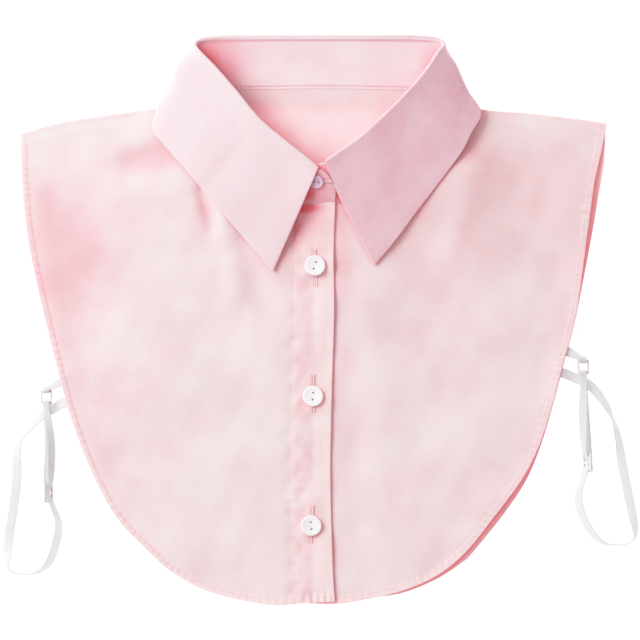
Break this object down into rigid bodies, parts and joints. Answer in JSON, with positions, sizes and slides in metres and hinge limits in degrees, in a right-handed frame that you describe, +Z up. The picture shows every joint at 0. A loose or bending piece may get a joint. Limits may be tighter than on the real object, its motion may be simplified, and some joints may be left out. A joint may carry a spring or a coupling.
{
  "type": "detachable shirt collar",
  "caption": "Detachable shirt collar: pointed collar on a buttoned cotton bib with an open back, side elastic straps, lying flat.",
  "frame": {"origin": "on the surface under the middle of the whole lying piece", "axes": "+X across the shoulders to the side of the right front, +Y from the hem up to the neck, +Z up, the front's outer face"},
  "size_m": [0.3946, 0.3542, 0.0261],
  "materials": {
    "cotton": "matte",
    "button": "gloss",
    "elastic": "matte",
    "plastic": "gloss"
  },
  "bodies": {
    "root": {"front_panel_left": "cotton", "front_panel_right": "cotton", "back_panel": "cotton", "collar_stand": "cotton", "collar_leaf": "cotton", "collar_button": "button", "front_button_1": "button", "front_button_2": "button", "front_button_3": "button", "elastic_strap_left": "elastic", "elastic_strap_right": "elastic", "strap_tab_left": "elastic", "strap_tab_right": "elastic", "strap_ring_left": "plastic", "strap_ring_right": "plastic", "strap_slider_left": "plastic", "strap_slider_right": "plastic"}
  },
  "joints": []
}
